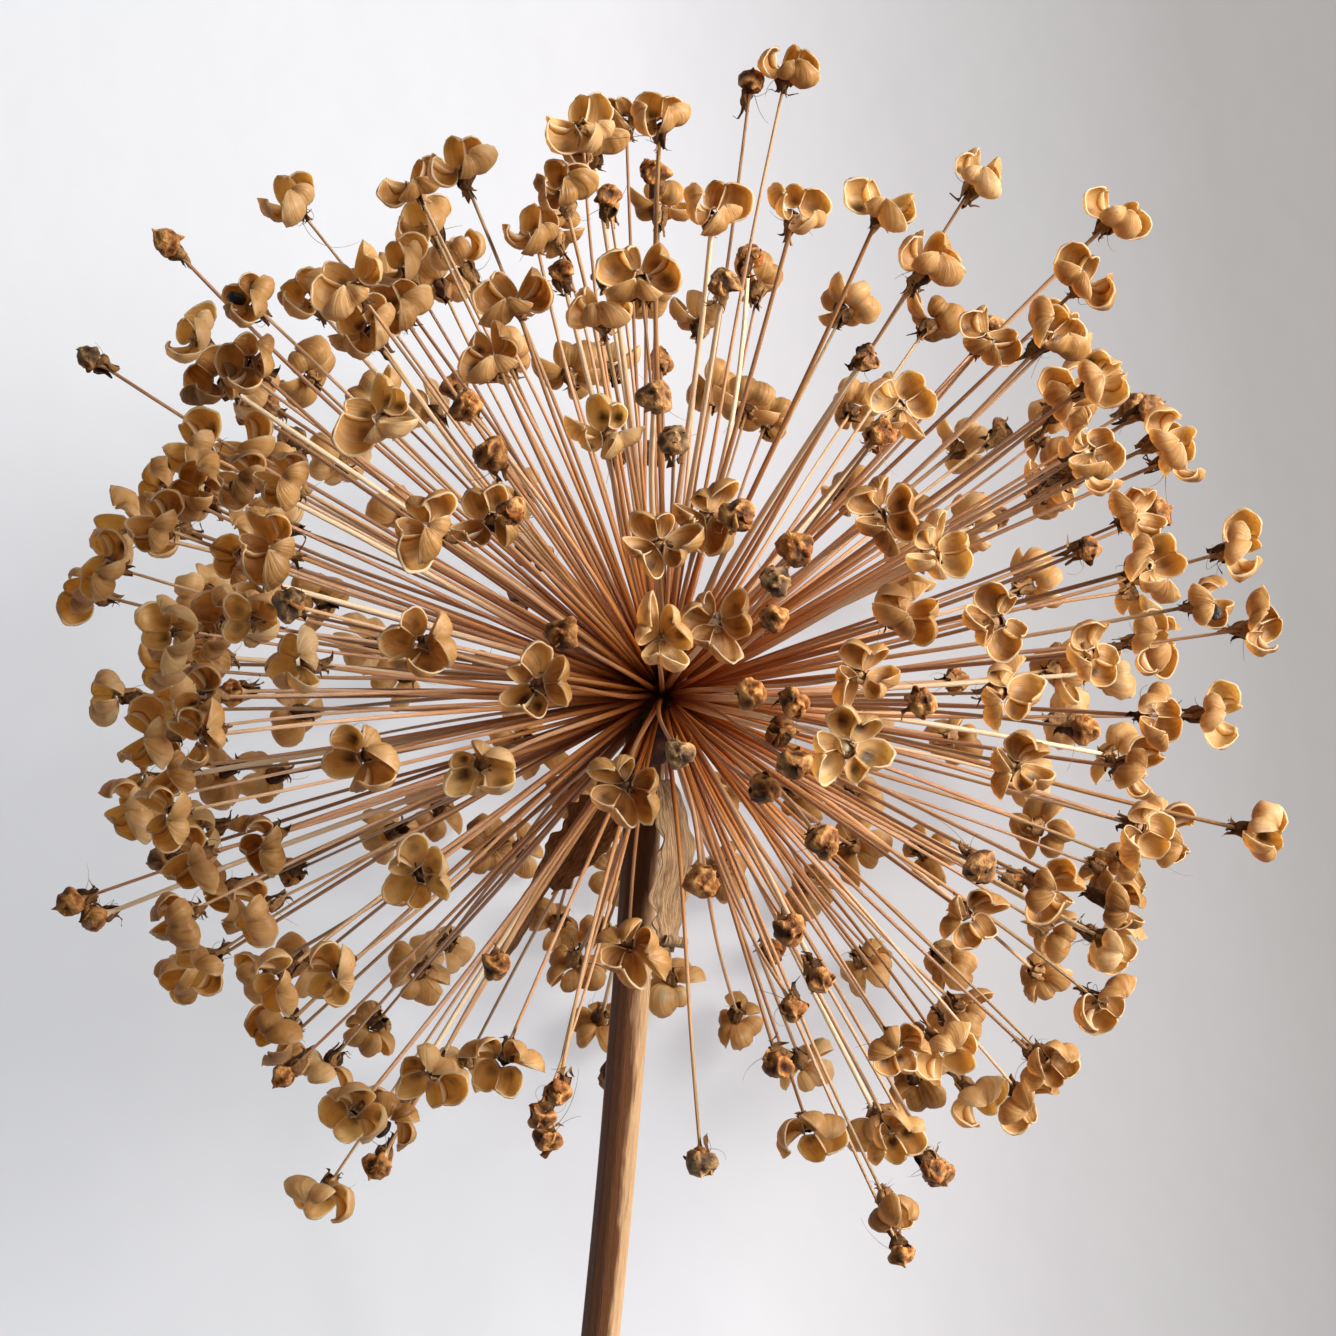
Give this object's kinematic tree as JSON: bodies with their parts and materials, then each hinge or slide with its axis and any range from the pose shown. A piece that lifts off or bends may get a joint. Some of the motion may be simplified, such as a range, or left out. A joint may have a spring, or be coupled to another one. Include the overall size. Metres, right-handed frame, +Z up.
{
  "type": "dried allium seed head",
  "caption": "Round dried seed head of an ornamental onion: straw-brown three-valved capsules on thin radiating stalks, withered bracts and a cut stem, lying on its side.",
  "frame": {"origin": "on the surface that it lies on, under the middle of its outline", "axes": "+Z up; -Y towards the cut end of the stem, +Y towards the top of the umbel; +X to the right as the picture shows it"},
  "size_m": [0.1233, 0.1683, 0.1094],
  "materials": {
    "dry_capsule": "dry papery straw brown, slightly translucent, with a faint sheen",
    "dry_stem": "dry ribbed stalk, tan with dark lengthwise streaks",
    "pale_bract": "dry ribbed membrane, grey tan",
    "brown_bract": "dry ribbed membrane, dark brown, torn"
  },
  "bodies": {
    "root": {"umbel": "dry_capsule", "stem": "dry_stem", "spathe_pale": "pale_bract", "spathe_broad": "brown_bract", "spathe_long": "brown_bract"}
  },
  "joints": []
}
